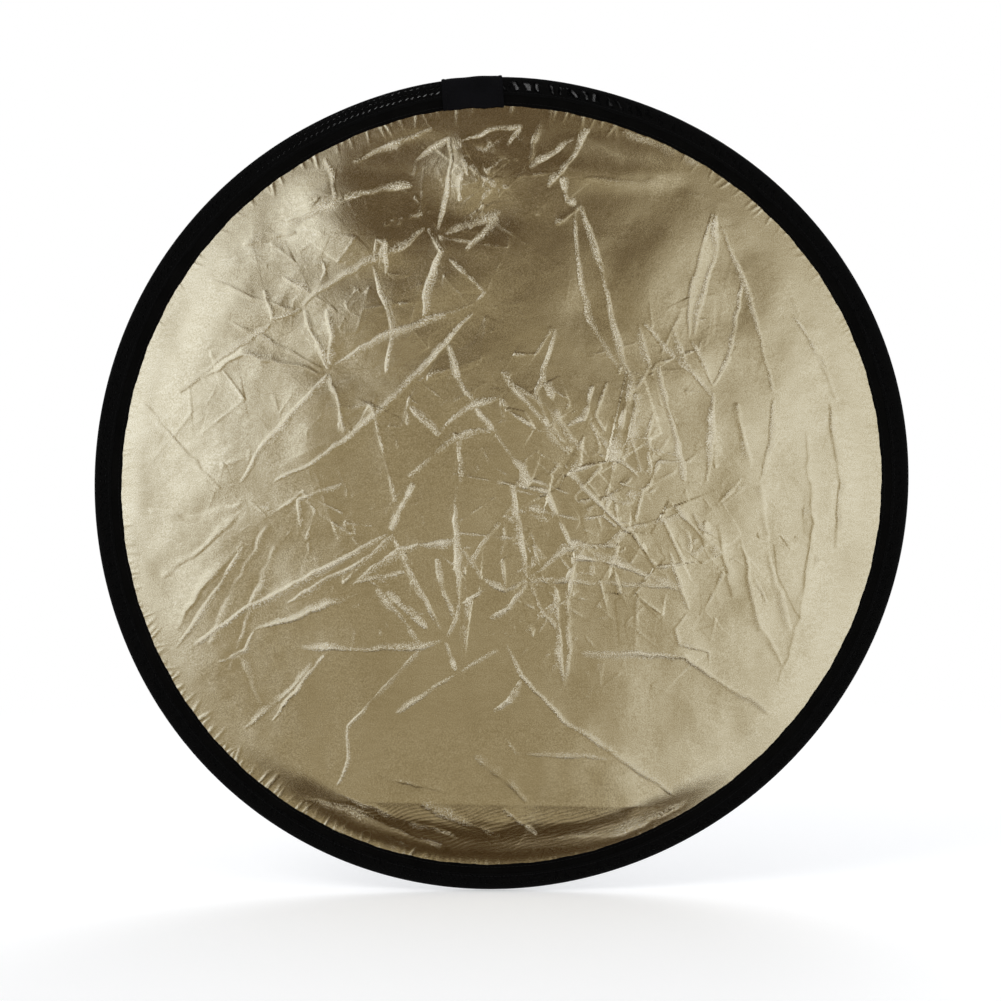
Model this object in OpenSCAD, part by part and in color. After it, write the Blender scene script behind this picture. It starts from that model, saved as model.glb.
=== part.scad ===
// Collapsible reflector disc: two fabric faces held taut by a flat spring-steel hoop.
// The disc stands upright in the XZ plane with its gold face towards -Y and +Z up.
// The origin is the centre of the disc. The rim is built up in layers, measured as a
// radius r from the centre and a height z from the mid-plane, z positive on the gold side.
// The hoop is split into short rigid lengths so that it can be wound up into a small coil.

/* [Disc] */
// outer diameter of the whole disc over its rim
disc_d = 600; // [400:10:1100]
// width of the dark rim, from the outer edge to the edge of the foil
rim_w = 20; // [18:0.5:26]
// thickness of the rim where it swells over the hoop
rim_t = 7.8; // [7.6:0.2:10]

/* [Fabric] */
// thickness of each foil face
foil_t = 0.3; // [0.2:0.05:0.4]
// gap between the two foil faces
foil_gap = 0.5; // [0.3:0.1:0.6]
// how far the foil runs in under the edging tape
foil_under = 5; // [3:0.5:6]
// thickness of one layer of the edging tape
tape_t = 0.5; // [0.3:0.05:0.6]
// thickness of the mesh sleeve's wall
sleeve_t = 0.4; // [0.3:0.05:0.5]
// how far the mesh sleeve overlaps the edging tape
sleeve_lap = 4; // [3:0.5:5]
// thickness of the sewing thread
thread_t = 0.25; // [0.15:0.05:0.3]
// smallest gap left between neighbouring layers
layer_gap = 0.04; // [0.02:0.01:0.06]

/* [Hoop] */
// width of the steel strip, measured through the disc
hoop_w = 5; // [4:0.25:5.25]
// thickness of the steel strip, measured along the radius
hoop_t = 0.8; // [0.5:0.1:0.9]
// radial step between the strip's two lapped ends
hoop_lap = 2.2; // [2:0.1:2.4]
// angle each lapped end runs past the meeting point
lap_angle = 3; // [1:0.5:4]
// gap between neighbouring lengths of the strip
hoop_cut = 0.3; // [0.25:0.05:0.5]
// wall thickness of the clip over the lapped ends
clip_t = 0.4; // [0.3:0.05:0.4]
// length of the clip along the rim
clip_l = 24; // [14:1:28]

/* [Tab] */
// angle of the tab round the disc, from +X towards +Z
tab_angle = 94; // [60:1:120]
// width of the tab along the rim
tab_w = 45; // [36:1:60]
// thickness of the tab's cloth
tab_t = 0.5; // [0.4:0.05:0.6]
// how far the tab's inner edge covers the foil
tab_over = 2; // [0:0.5:4]
// distance of the tab's two side hems from its side edges
tab_hem = 3; // [2:0.5:5]
// length of one stitch on the tab
stitch_l = 2; // [1.5:0.5:3]
// number of stitches in each hem
stitch_n = 3; // [2:1:4]

/* [Hidden] */
$fn = 360;
lengths = 24; // number of rigid lengths the hoop is split into
step = 360 / lengths;
half_n = lengths / 2;
disc_r = disc_d / 2;
rim_r = disc_r - rim_w; // inner edge of the rim
foil_r = rim_r + foil_under;
tape_r = disc_r - 8.5; // folded outer edge of the tape
lip_r = tape_r - sleeve_lap; // inner edge of the sleeve
// stack of layers on each side of the mid-plane
foil_z = foil_gap / 2;
tape_z = foil_z + foil_t + layer_gap;
tape_top = tape_z + tape_t;
lip_z = tape_top + layer_gap;
lip_top = lip_z + sleeve_t;
bead_z = rim_t / 2;
tab_z = lip_top + layer_gap + thread_t + layer_gap;
// hoop centreline
hoop_r = disc_r - 3.5;
shift = hoop_lap / 4;
seam_in_r = rim_r + 2.2;
seam_out_r = lip_r + 2;

// Turns a drawing made on the XY plane upright, so that its +z faces -Y.
module upright() {
    rotate([90, 0, 0])
        children();
}

// Sweeps a section round the disc from angle a through angle span.
module sweep(a, span) {
    upright()
        rotate([0, 0, a])
            rotate_extrude(angle = span)
                children();
}

// Round sheet of foil between heights z0 and z0 + foil_t.
module foil(z0) {
    upright()
        translate([0, 0, z0])
            cylinder(r = foil_r, h = foil_t);
}

module gold_panel() {
    color([0.72, 0.60, 0.36])
        foil(foil_z);
}

module silver_panel() {
    color([0.78, 0.79, 0.80])
        foil(-foil_z - foil_t);
}

// Tape folded outwards round the edges of both foil faces.
module edging_tape() {
    fold_r = foil_r + 0.6;
    color([0.05, 0.05, 0.06])
        sweep(0, 360)
            polygon([[rim_r, tape_z], [fold_r, tape_z], [fold_r, -tape_z], [rim_r, -tape_z],
                [rim_r, -tape_top], [tape_r, -tape_top], [tape_r, tape_top], [rim_r, tape_top]]);
}

// Half outline of the rim's swelling, moved out by g: r and z pairs from the lip outwards.
function bead(g) = [
    [tape_r + 0.2 - g * 0.5, lip_top + g],
    [disc_r - 6.3 - g * 0.8, bead_z - 0.5 + g * 0.6],
    [disc_r - 3.6, bead_z + g],
    [disc_r - 1.1 + g * 0.7, bead_z - 0.5 + g * 0.7],
    [disc_r + g, 1.7]];

function below(pts) = [for (i = [len(pts) - 1 : -1 : 0]) [pts[i][0], -pts[i][1]]];
function turned(pts) = [for (i = [len(pts) - 1 : -1 : 0]) pts[i]];

// Sheer sleeve over the hoop, its two lips lying on the edging tape.
module mesh_sleeve() {
    outer = concat([[lip_r, lip_top]], bead(0), below(bead(0)), [[lip_r, -lip_top]]);
    inner = concat([[lip_r, lip_z]], bead(-sleeve_t), below(bead(-sleeve_t)), [[lip_r, -lip_z]]);
    color([0.08, 0.08, 0.10])
        sweep(0, 360)
            polygon(concat(outer, turned(inner)));
}

// One row of sewing thread at radius r, lying on a surface at height z on the side given.
module seam(r, z, side) {
    z0 = z + layer_gap / 2;
    color([0.12, 0.12, 0.13])
        sweep(0, 360)
            translate([r, side > 0 ? z0 : -z0 - thread_t])
                square([thread_t, thread_t]);
}

// Bars at every stitch of the tab's two side hems, on both faces. They reach from the cloth's
// surface down by one thread, and are larger all round by slack.
module hem_bars(slack) {
    in_r = rim_r - tab_over + 2;
    pitch = stitch_l + 1;
    surface = tab_z + tab_t;
    rise = slack > 0 ? 1 : 0; // a pocket is cut right out through the surface
    upright()
        rotate([0, 0, tab_angle])
            for (face = [0, 1], hem = [-1, 1], i = [0 : stitch_n - 1]) {
                y = hem * (tab_w / 2 - tab_hem);
                mirror([0, 0, face])
                    translate([in_r + i * pitch - slack, y - thread_t / 2 - slack,
                        surface - thread_t - slack])
                        cube([stitch_l + 2 * slack, thread_t + 2 * slack,
                            thread_t + slack + rise]);
            }
}

// Cloth wrapped over the rim where the hoop's two ends meet, with a pocket for each stitch.
module tab_cover() {
    in_r = rim_r - tab_over;
    half_a = asin(tab_w / 2 / disc_r);
    g = layer_gap * 2;
    inner = concat([[in_r, tab_z], [tape_r - 1, tab_z]], bead(g));
    outer = concat([[in_r, tab_z + tab_t], [tape_r - 1.4, tab_z + tab_t]], bead(g + tab_t));
    color([0.07, 0.08, 0.11])
        difference() {
            sweep(tab_angle - half_a, 2 * half_a)
                polygon(concat(outer, below(outer), turned(concat(inner, below(inner)))));
            hem_bars(layer_gap);
        }
}

// Stitches down both side hems of the tab, sunk level with its surface.
module tab_stitching() {
    color([0.15, 0.16, 0.18])
        hem_bars(0);
}

// Pressed channel over the hoop's lapped ends, open towards the gold side.
module hoop_clip() {
    half_a = asin(clip_l / 2 / hoop_r);
    in_r = hoop_r - hoop_lap / 2 - hoop_t / 2 - 0.1;
    out_r = hoop_r + hoop_lap / 2 + hoop_t / 2 + 0.1;
    z_in = hoop_w / 2 + 0.1;
    color([0.62, 0.63, 0.65])
        sweep(tab_angle - half_a, 2 * half_a)
            polygon([[in_r - clip_t, hoop_w / 2], [in_r, hoop_w / 2], [in_r, -z_in],
                [out_r, -z_in], [out_r, hoop_w / 2], [out_r + clip_t, hoop_w / 2],
                [out_r + clip_t, -z_in - clip_t], [in_r - clip_t, -z_in - clip_t]]);
}

// One rigid length of the hoop. Lengths run anticlockwise from the tab, seen on the gold
// side. The first half of the hoop is drawn inwards and the second half outwards, so that
// the two ends pass side by side under the tab.
module hoop_length(i) {
    side = i <= half_n ? -1 : 1;
    r = hoop_r + side * shift;
    cut_a = hoop_cut / 2 / r * 180 / PI;
    a0 = i == 1 ? -lap_angle : (i - 1) * step + cut_a;
    a1 = i == lengths ? 360 + lap_angle : i * step - cut_a;
    color([0.45, 0.47, 0.50])
        upright()
            rotate([0, 0, tab_angle])
                translate([side * shift, 0, 0])
                    rotate([0, 0, a0])
                        rotate_extrude(angle = a1 - a0)
                            translate([r - hoop_t / 2, -hoop_w / 2])
                                square([hoop_t, hoop_w]);
}

gold_panel();
silver_panel();
edging_tape();
mesh_sleeve();
seam(seam_in_r, tape_top, 1);  // seam_inner_front
seam(seam_in_r, tape_top, -1);  // seam_inner_back
seam(seam_out_r, lip_top, 1);  // seam_outer_front
seam(seam_out_r, lip_top, -1);  // seam_outer_back
tab_cover();
tab_stitching();
hoop_clip();
hoop_length(1);  // hoop_01
hoop_length(2);  // hoop_02
hoop_length(3);  // hoop_03
hoop_length(4);  // hoop_04
hoop_length(5);  // hoop_05
hoop_length(6);  // hoop_06
hoop_length(7);  // hoop_07
hoop_length(8);  // hoop_08
hoop_length(9);  // hoop_09
hoop_length(10);  // hoop_10
hoop_length(11);  // hoop_11
hoop_length(12);  // hoop_12
hoop_length(13);  // hoop_13
hoop_length(14);  // hoop_14
hoop_length(15);  // hoop_15
hoop_length(16);  // hoop_16
hoop_length(17);  // hoop_17
hoop_length(18);  // hoop_18
hoop_length(19);  // hoop_19
hoop_length(20);  // hoop_20
hoop_length(21);  // hoop_21
hoop_length(22);  // hoop_22
hoop_length(23);  // hoop_23
hoop_length(24);  // hoop_24
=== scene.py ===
import math
import random

import bpy
import numpy as np
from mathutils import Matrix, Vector


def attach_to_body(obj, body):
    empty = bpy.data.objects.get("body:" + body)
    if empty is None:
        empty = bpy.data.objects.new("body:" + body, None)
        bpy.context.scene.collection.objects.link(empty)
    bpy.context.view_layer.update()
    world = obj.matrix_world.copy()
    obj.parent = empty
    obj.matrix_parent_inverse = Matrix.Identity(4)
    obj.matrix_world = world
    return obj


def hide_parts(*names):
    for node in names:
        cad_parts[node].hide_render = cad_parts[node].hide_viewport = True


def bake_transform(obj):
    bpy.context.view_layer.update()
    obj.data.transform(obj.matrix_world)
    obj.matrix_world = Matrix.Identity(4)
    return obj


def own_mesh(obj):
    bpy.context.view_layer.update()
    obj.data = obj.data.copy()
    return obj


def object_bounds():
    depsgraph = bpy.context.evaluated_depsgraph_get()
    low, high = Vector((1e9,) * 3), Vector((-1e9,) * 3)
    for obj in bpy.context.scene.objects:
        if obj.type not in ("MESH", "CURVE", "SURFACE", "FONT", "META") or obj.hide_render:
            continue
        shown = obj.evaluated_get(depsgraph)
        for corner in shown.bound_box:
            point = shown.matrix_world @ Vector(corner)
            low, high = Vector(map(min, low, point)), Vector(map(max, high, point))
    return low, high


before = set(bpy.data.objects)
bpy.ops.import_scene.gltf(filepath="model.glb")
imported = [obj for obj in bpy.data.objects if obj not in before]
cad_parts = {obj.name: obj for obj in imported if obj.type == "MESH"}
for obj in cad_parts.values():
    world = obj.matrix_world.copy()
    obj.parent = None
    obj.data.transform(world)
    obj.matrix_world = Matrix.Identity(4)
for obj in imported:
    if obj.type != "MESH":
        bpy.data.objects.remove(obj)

START_LO, START_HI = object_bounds()

# ---- sizes, in mm unless named _M
MM = 0.001
LENGTHS = 24                  # rigid lengths of the hoop, and wedges of foil
STEP = 360 / LENGTHS          # angle of one length
TAB_ANGLE = 94.0              # where the hoop's ends lap, under the tab
HOOP_R = 296.5
DISC_R = 300.0
RIM_R = 280.0                 # inner edge of the dark rim
FOIL_R = 284.6
FOIL_Y = 0.40                 # mid-height of each foil at its sewn edge
LIP_R = 287.5                 # inner edge of the mesh sleeve
SKIN = 0.22                   # thickness drawn for the foil and the net
THREAD = 0.30                 # thickness of the sewing thread
STITCH_PITCH = 3.1
NET_PITCH = 0.62              # of the holes in the net
CAMERA_M = 1.5                # distance from the disc to the camera


def smooth(a, b, v):
    """0 below a, 1 above b, and a smooth rise between them. Works on arrays."""
    t = np.clip((v - a) / (b - a), 0.0, 1.0)
    return t * t * (3 - 2 * t)


def from_tab(deg):
    """Angle from the tab's centre line, -180 to 180."""
    return (deg - TAB_ANGLE + 180) % 360 - 180


def slack(deg):
    """How far the sewn hoop strays from a true circle, outwards, at an angle."""
    a = np.radians(deg)
    off = 1.9 * np.cos(2 * (a - math.radians(35))) + 1.3 * np.cos(3 * (a - math.radians(9)))
    return off * smooth(5.0, 26.0, np.abs(from_tab(deg)))


def rim_shift(deg):
    """The rim is a little wider at the top than at the bottom."""
    return -1.7 * np.sin(np.radians(deg))


# ---- mesh helpers
def new_object(name, data):
    obj = bpy.data.objects.new(name, data)
    bpy.context.scene.collection.objects.link(obj)
    return obj


def make_mesh(name, material, verts, faces, normals=None, uv=None, wear_and_highlight=None):
    """Mesh object from arrays in mm. faces is a list of integer arrays with one face per row."""
    mesh = bpy.data.meshes.new(name)
    verts = np.asarray(verts, float) * MM
    groups = [np.asarray(f, np.int64) for f in faces if len(f)]
    loops = np.concatenate([g.ravel() for g in groups])
    sizes = np.concatenate([np.full(len(g), g.shape[1], np.int64) for g in groups])
    starts = np.concatenate([[0], np.cumsum(sizes)[:-1]])
    mesh.vertices.add(len(verts))
    mesh.vertices.foreach_set("co", verts.astype(np.float32).ravel())
    mesh.loops.add(len(loops))
    mesh.loops.foreach_set("vertex_index", loops.astype(np.int32))
    mesh.polygons.add(len(sizes))
    mesh.polygons.foreach_set("loop_start", starts.astype(np.int32))
    mesh.update(calc_edges=True)
    mesh.polygons.foreach_set("use_smooth", np.full(len(sizes), True))
    if uv is not None:
        layer = mesh.uv_layers.new(name="cloth")
        layer.data.foreach_set("uv", np.asarray(uv, np.float32)[loops].ravel())
    # how much of the paler crease colour each point gets: partly wear, partly a painted highlight
    if wear_and_highlight is not None:
        layer = mesh.attributes.new("wear_and_highlight", "FLOAT", "POINT")
        layer.data.foreach_set("value", np.asarray(wear_and_highlight, np.float32))
    mesh.update()
    if normals is not None:
        n = np.asarray(normals, float)
        n /= np.linalg.norm(n, axis=1)[:, None]
        mesh.normals_split_custom_set_from_vertices(n.tolist())
    mesh.materials.append(material)
    return new_object(name, mesh)


def polar(r, deg, y):
    """Points from radius, angle round the disc and depth, in the row frame."""
    a = np.radians(deg)
    return np.stack([r * np.cos(a), y + 0 * r, r * np.sin(a)], axis=-1)


def grid_faces(n, m, closed=False):
    """Quads of a grid of n by m points, whose rows of m are rings when closed."""
    i, j = np.meshgrid(np.arange(n - 1), np.arange(m if closed else m - 1), indexing="ij")
    i, j = i.ravel(), j.ravel()
    k = (j + 1) % m
    return np.stack([i * m + j, i * m + k, (i + 1) * m + k, (i + 1) * m + j], axis=1)


def boundary_edges(tris_quads):
    """Directed edges used by only one face, from a list of face arrays."""
    ends = []
    for f in tris_quads:
        f = np.asarray(f)
        if len(f):
            ends.append(np.stack([f, np.roll(f, -1, axis=1)], axis=-1).reshape(-1, 2))
    ends = np.concatenate(ends)
    key = np.sort(ends, axis=1)
    code = key[:, 0] * (key.max() + 1) + key[:, 1]
    _, first, counts = np.unique(code, return_index=True, return_counts=True)
    return ends[first[counts == 1]]


def thicken(verts, faces, offset):
    """A closed skin: the sheet, the same sheet moved by offset with its faces turned, and walls."""
    n = len(verts)
    both = np.concatenate([verts, verts + offset])
    rim = boundary_edges(faces)
    walls = np.stack([rim[:, 1], rim[:, 0], rim[:, 0] + n, rim[:, 1] + n], axis=1)
    out = [np.asarray(f) for f in faces] + [np.asarray(f)[:, ::-1] + n for f in faces]
    return both, out + [walls]


# ---- height of the creased foil
GRID = 0.6                    # spacing of the height map
HALF = 288.0                  # half of its width
AXIS = np.arange(-HALF, HALF + GRID / 2, GRID)
GX, GZ = np.meshgrid(AXIS, AXIS, indexing="ij")

# The main creases of the gold face, each a run of points x, z from the disc's centre.
CREASES = [
    # upper left
    [(-109, 237), (-84, 249), (-49, 263)], [(-129, 240), (-123, 228), (-121, 211), (-140, 198)],
    [(-115, 209), (-87, 217), (-64, 219)], [(-158, 192), (-137, 200), (-115, 211)],
    [(-63, 237), (-51, 248), (-38, 255), (-35, 238), (-40, 208), (-46, 185)],
    [(-29, 252), (0, 262), (14, 262), (5, 249)], [(-23, 234), (0, 214)], [(-27, 232), (-29, 208)],
    [(-41, 183), (-3, 197), (-26, 171)],
    [(-146, 130), (-135, 141), (-114, 154), (-94, 164), (-74, 172), (-54, 189)],
    [(-54, 189), (-44, 171), (-54, 146), (-57, 121)],
    [(-94, 164), (-91, 180), (-84, 177), (-84, 152)],
    [(-94, 161), (-89, 140), (-83, 128), (-80, 114), (-84, 80)],
    [(-126, 84), (-103, 100), (-80, 112), (-44, 124), (-18, 134)],
    [(-18, 128), (-35, 109), (-54, 87), (-84, 57), (-109, 35), (-146, 10), (-168, 0)],
    [(-38, 166), (-23, 152), (-12, 140), (-18, 134)],
    [(-144, 128), (-140, 112), (-132, 97), (-126, 83)], [(-128, 129), (-124, 109), (-126, 84)],
    [(-126, 81), (-118, 57), (-114, 37)], [(-126, 81), (-152, 54), (-177, 26), (-192, 0)],
    [(-168, 118), (-198, 97), (-238, 66)], [(-174, 143), (-168, 121), (-146, 128)],
    [(-161, 152), (-140, 140)], [(-38, 103), (-29, 75), (-18, 57), (-4, 38)],
    [(-67, 57), (-46, 35), (-38, 44), (-18, 57), (0, 63)],
    [(-69, 4), (-44, 26), (-23, 38), (0, 40)], [(-31, 32), (-29, 0)],
    # upper right
    [(66, 262), (55, 241), (35, 218)], [(22, 232), (55, 254)],
    [(45, 226), (49, 208), (56, 205)],
    [(55, 208), (56, 177), (59, 146), (66, 118), (80, 94), (99, 69)],
    [(59, 208), (71, 174), (80, 140), (86, 112), (92, 87), (100, 71)],
    [(40, 115), (34, 91), (25, 63)],
    [(157, 201), (148, 171), (140, 140), (139, 106)],
    [(159, 200), (160, 171), (151, 140), (143, 107)],
    [(160, 198), (172, 168), (182, 146), (193, 106), (202, 66)],
    [(179, 152), (174, 115), (168, 91), (157, 71)], [(140, 106), (148, 91), (157, 71)],
    [(102, 118), (106, 103), (111, 87), (100, 69)],
    [(105, 118), (123, 97), (142, 81), (156, 63)], [(126, 118), (136, 91), (154, 66)],
    [(100, 67), (97, 44), (92, 20)], [(117, 87), (123, 57), (132, 29), (136, 0)],
    [(114, 54), (109, 35), (111, 4)], [(157, 69), (157, 38), (152, 0)],
    [(202, 63), (200, 35), (191, 0)], [(216, 124), (231, 103), (242, 84)],
    [(0, 84), (25, 54), (46, 26), (52, 20)], [(3, 78), (37, 54), (66, 17)],
    [(69, 72), (62, 47), (49, 41)], [(66, 44), (80, 23), (102, 4)],
    # lower left
    [(-63, 0), (-72, -18), (-80, -36)],
    [(-80, -36), (-115, -55), (-152, -74), (-192, -95), (-226, -120)],
    [(-78, -38), (-103, -58), (-134, -74), (-158, -89)],
    [(-74, -48), (-94, -62), (-107, -74), (-69, -66)],
    [(-80, -36), (-74, -48), (-66, -65), (-54, -86), (-43, -109)], [(-74, -48), (-32, -42)],
    [(-32, 0), (-34, -28), (-32, -55), (-31, -92), (-40, -115)],
    [(-91, -77), (-75, -95), (-64, -111), (-58, -120)], [(-84, -80), (-54, -108)],
    [(-40, -115), (-58, -122), (-115, -123), (-149, -121)],
    [(-58, -122), (-72, -136), (-91, -157), (-112, -179), (-112, -203), (-121, -225)],
    [(-128, -126), (-146, -148), (-168, -176)], [(-137, -132), (-152, -151), (-189, -182)],
    [(0, -123), (-35, -143), (-78, -171)], [(-40, -117), (-32, -139)],
    [(-47, -55), (-44, -74), (-35, -99)],
    [(-181, -108), (-155, -102), (-140, -95), (-103, -82)],
    [(-181, -108), (-188, -123), (-208, -132)],
    [(-189, -46), (-208, -77), (-229, -108), (-240, -123)],
    [(-115, 0), (-149, -12), (-146, -34)], [(0, -28), (-10, -40), (-27, -63)],
    # lower right
    [(20, -72), (49, -49), (63, -52)], [(20, -72), (29, -92), (42, -109)],
    [(20, -71), (17, -46), (12, -15), (9, 0)], [(20, -72), (62, -74), (129, -77)],
    [(20, -72), (4, -80), (-14, -70)], [(20, -72), (6, -92), (-8, -100)],
    [(65, -52), (105, -68), (132, -79)], [(71, -51), (92, -34), (139, -22)],
    [(48, -77), (49, -92), (51, -123), (46, -151)], [(42, -80), (44, -110), (46, -151)],
    [(125, -51), (132, -71), (140, -94)],
    [(140, -94), (129, -108), (132, -119), (154, -125), (154, -136)],
    [(57, -125), (102, -125), (136, -128), (160, -145), (191, -163), (200, -172)],
    [(3, -117), (15, -142), (46, -176), (80, -197), (129, -231)],
    [(15, -145), (6, -160), (-6, -168)], [(0, -185), (12, -200), (55, -202), (83, -203)],
    [(142, -22), (148, -34), (160, -40)], [(188, -71), (197, -89)], [(2, -240), (28, -259)],
]
# Softer folds, wide and low.
SOFT_FOLDS = [
    [(192, 0), (200, -60), (215, -110)], [(225, 40), (232, -30), (222, -100), (205, -150)],
    [(178, -40), (190, -100), (213, -140)], [(160, -30), (172, -85)],
    [(243, 60), (252, 0), (248, -50)], [(175, 60), (185, 10)], [(210, 150), (235, 95), (250, 60)],
    [(-265, 60), (-230, 20), (-205, -5)], [(-260, -20), (-225, -25), (-190, -15)],
    [(-250, -70), (-215, -45), (-190, -20)], [(-200, -140), (-185, -95), (-165, -45)],
    [(-215, -120), (-198, -80), (-170, -30)], [(-240, -110), (-222, -80), (-190, -45)],
    [(-175, -165), (-190, -130), (-205, -120)], [(-215, 150), (-175, 135), (-150, 128)],
    [(-238, 66), (-190, 95), (-128, 80)], [(-190, 175), (-150, 185)],
    [(-200, 120), (-160, 100), (-130, 84)], [(-10, 262), (-5, 225)], [(30, 268), (20, 235)],
    [(90, 262), (150, 235)], [(60, 225), (120, 222), (170, 205)], [(40, 190), (60, 205)],
    [(-150, -232), (-110, -240), (-60, -262), (-40, -268)],
    [(-120, -228), (-80, -245), (-30, -262)],
    [(-60, -236), (-30, -250), (0, -262)], [(40, -262), (90, -258), (140, -235)],
    [(-100, -255), (-60, -270)], [(-20, -200), (10, -225), (20, -236)], [(-90, -215), (-40, -228)],
]
# Places where the cloth is crumpled finely: x, z, spread, strength.
CRUMPLES = [
    (25, -60, 50, 1.0), (60, -10, 50, 0.9), (55, 45, 50, 0.6), (115, 15, 50, 0.6),
    (-75, 60, 60, 0.5), (-60, 195, 50, 0.45), (-115, 235, 30, 0.5), (-135, 150, 45, 0.4),
    (-150, -30, 40, 0.5), (-70, -70, 60, 0.6), (130, -60, 50, 0.6), (150, 110, 50, 0.5),
    (10, 110, 70, 0.4), (-200, 40, 60, 0.4), (60, -140, 60, 0.35), (200, -40, 60, 0.4),
    (-10, 235, 50, 0.5),
]
# Broad facets that lean one way: x, z, half width, half height, slope along x, slope along z.
FACETS = [
    (-88, 210, 54, 44, -0.026, -0.024), (-80, 246, 42, 14, -0.006, -0.022),
    (-20, 215, 38, 30, 0.0, 0.045), (92, 245, 62, 24, 0.0, -0.035),
    (140, 150, 50, 40, -0.020, 0.0), (-60, 120, 60, 30, -0.012, 0.010),
    (-190, -90, 50, 50, -0.010, 0.0), (20, -190, 110, 35, 0.0, -0.006),
]


def distance_to_run(points, reach):
    """Window of the height map, signed distance to a run of points, and share of the way along."""
    pts = np.array(points, float)
    lo, hi = pts.min(0) - reach, pts.max(0) + reach
    i0, j0 = np.maximum(((lo + HALF) / GRID).astype(int), 0)
    i1, j1 = np.minimum(((hi + HALF) / GRID).astype(int) + 2, len(AXIS))
    x, z = GX[i0:i1, j0:j1], GZ[i0:i1, j0:j1]
    best, along, side = np.full(x.shape, 1e9), np.zeros(x.shape), np.ones(x.shape)
    legs = np.linalg.norm(np.diff(pts, axis=0), axis=1)
    total, done = legs.sum(), 0.0
    for (a, b), leg in zip(zip(pts[:-1], pts[1:]), legs):
        d = (b - a) / max(leg, 1e-6)
        t = np.clip((x - a[0]) * d[0] + (z - a[1]) * d[1], 0, leg)
        dist = np.hypot(x - a[0] - t * d[0], z - a[1] - t * d[1])
        near = dist < best
        best[near] = dist[near]
        along[near] = (done + t[near]) / total
        side[near] = np.sign((x - a[0]) * d[1] - (z - a[1]) * d[0])[near]
        done += leg
    return (slice(i0, i1), slice(j0, j1)), best * side, along


def roughen(points, rng, wander, leg=7.0):
    """The run cut into short legs that stray a little to each side, as real creases do."""
    out = [points[0]]
    for (x0, z0), (x1, z1) in zip(points[:-1], points[1:]):
        length = math.hypot(x1 - x0, z1 - z0)
        n = max(1, int(length / leg))
        nx, nz = -(z1 - z0) / length, (x1 - x0) / length
        for k in range(1, n + 1):
            s = rng.uniform(-wander, wander) if k < n else 0.0
            t = k / n
            out.append((x0 + (x1 - x0) * t + nx * s, z0 + (z1 - z0) * t + nz * s))
    return out


def noise_field(seed, wavelength, width=0.5):
    """Seeded smooth noise over the height map, with features about one wavelength across."""
    n = len(AXIS)
    white = np.random.default_rng(seed).standard_normal((n, n))
    f = np.hypot(*np.meshgrid(np.fft.fftfreq(n, GRID), np.fft.fftfreq(n, GRID), indexing="ij"))
    band = np.exp(-((np.log(np.maximum(f, 1e-6) * wavelength)) ** 2) / (2 * width * width))
    out = np.real(np.fft.ifft2(np.fft.fft2(white) * band))
    return out / out.std()


def crumple_net(seed, spacing):
    """A net of folds between scattered points: distance to the nearest fold, and its strength."""
    rng = np.random.default_rng(seed)
    count = int((2 * HALF / spacing) ** 2)
    pts = rng.uniform(-HALF, HALF, (count, 2))
    gap, strength = np.full(GX.shape, 99.0), np.zeros(GX.shape)
    tile = 80
    for i0 in range(0, len(AXIS), tile):
        for j0 in range(0, len(AXIS), tile):
            win = (slice(i0, i0 + tile), slice(j0, j0 + tile))
            x, z = GX[win], GZ[win]
            mid = np.array([x.mean(), z.mean()])
            near = np.argsort(np.hypot(*(pts - mid).T))[:40]
            d = np.hypot(x[..., None] - pts[near, 0], z[..., None] - pts[near, 1])
            order = np.argsort(d, axis=-1)[..., :2]
            two = np.take_along_axis(d, order, axis=-1)
            a, b = near[order[..., 0]], near[order[..., 1]]
            key = np.minimum(a, b) * 7919 + np.maximum(a, b) * 104729
            gap[win] = two[..., 1] - two[..., 0]
            strength[win] = ((key * 2654435761) % 1000) / 1000
    return gap, strength


EDGE_R = 283.0                # the foil is held down from here out to its sewn edge
# Three sizes of crumple: spacing, height, wear and painted highlight of the folds, height of the
# tents beside them.
CRUMPLE_SIZES = [(44, 0.22, 0.8, 0.24), (26, 0.15, 0.7, 0.11), (15, 0.09, 0.55, 0.045)]


def press_crease(maps, rng, points, h, w, wander, tent, reach, worn_and_lit=1.0):
    """A crease h high and w wide with uneven sides, between slopes tent high and reach wide."""
    height, ridge, wear_and_highlight = maps
    where, dist, along = distance_to_run(roughen(points, rng, wander), 3 * max(w, reach) + 2)
    ends = rng.uniform(0.1, 0.3), rng.uniform(0.1, 0.3)
    slim = (smooth(-0.05, ends[0], along) * smooth(-0.05, ends[1], 1 - along)) ** 0.7
    taper = smooth(0.0, 0.035, along) * smooth(0.0, 0.035, 1 - along) * (0.35 + 0.65 * slim)
    f1, f2, p1, p2 = (rng.uniform(*span) for span in ((5, 11), (14, 30), (0, 6), (0, 6)))
    beat = 0.66 + 0.24 * np.sin(along * f1 + p1) + 0.16 * np.sin(along * f2 + p2)
    lean = rng.choice((0.6, 1.6))
    wide = np.where(dist > 0, w * lean, w / lean) * (0.9 + 0.3 * np.sin(along * f1 + p2))
    wide = wide * (0.5 + 0.5 * slim)
    bump = h * taper * beat * np.exp(-((dist / wide) ** 2))
    ridge[where] = np.where(np.abs(bump) > np.abs(ridge[where]), bump, ridge[where])
    # the paler crease colour along it is partly wear, partly a painted highlight on the ridge
    scuff_and_highlight = taper * beat * np.exp(-((dist / (1.7 * wide)) ** 2))
    wear_and_highlight[where] = np.maximum(wear_and_highlight[where], worn_and_lit * scuff_and_highlight * min(1.0, abs(h) / 0.30))
    ease = smooth(0.0, 0.4, along) * smooth(0.0, 0.4, 1 - along)
    height[where] += tent * ease * np.exp(-np.abs(dist) / reach)


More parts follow.
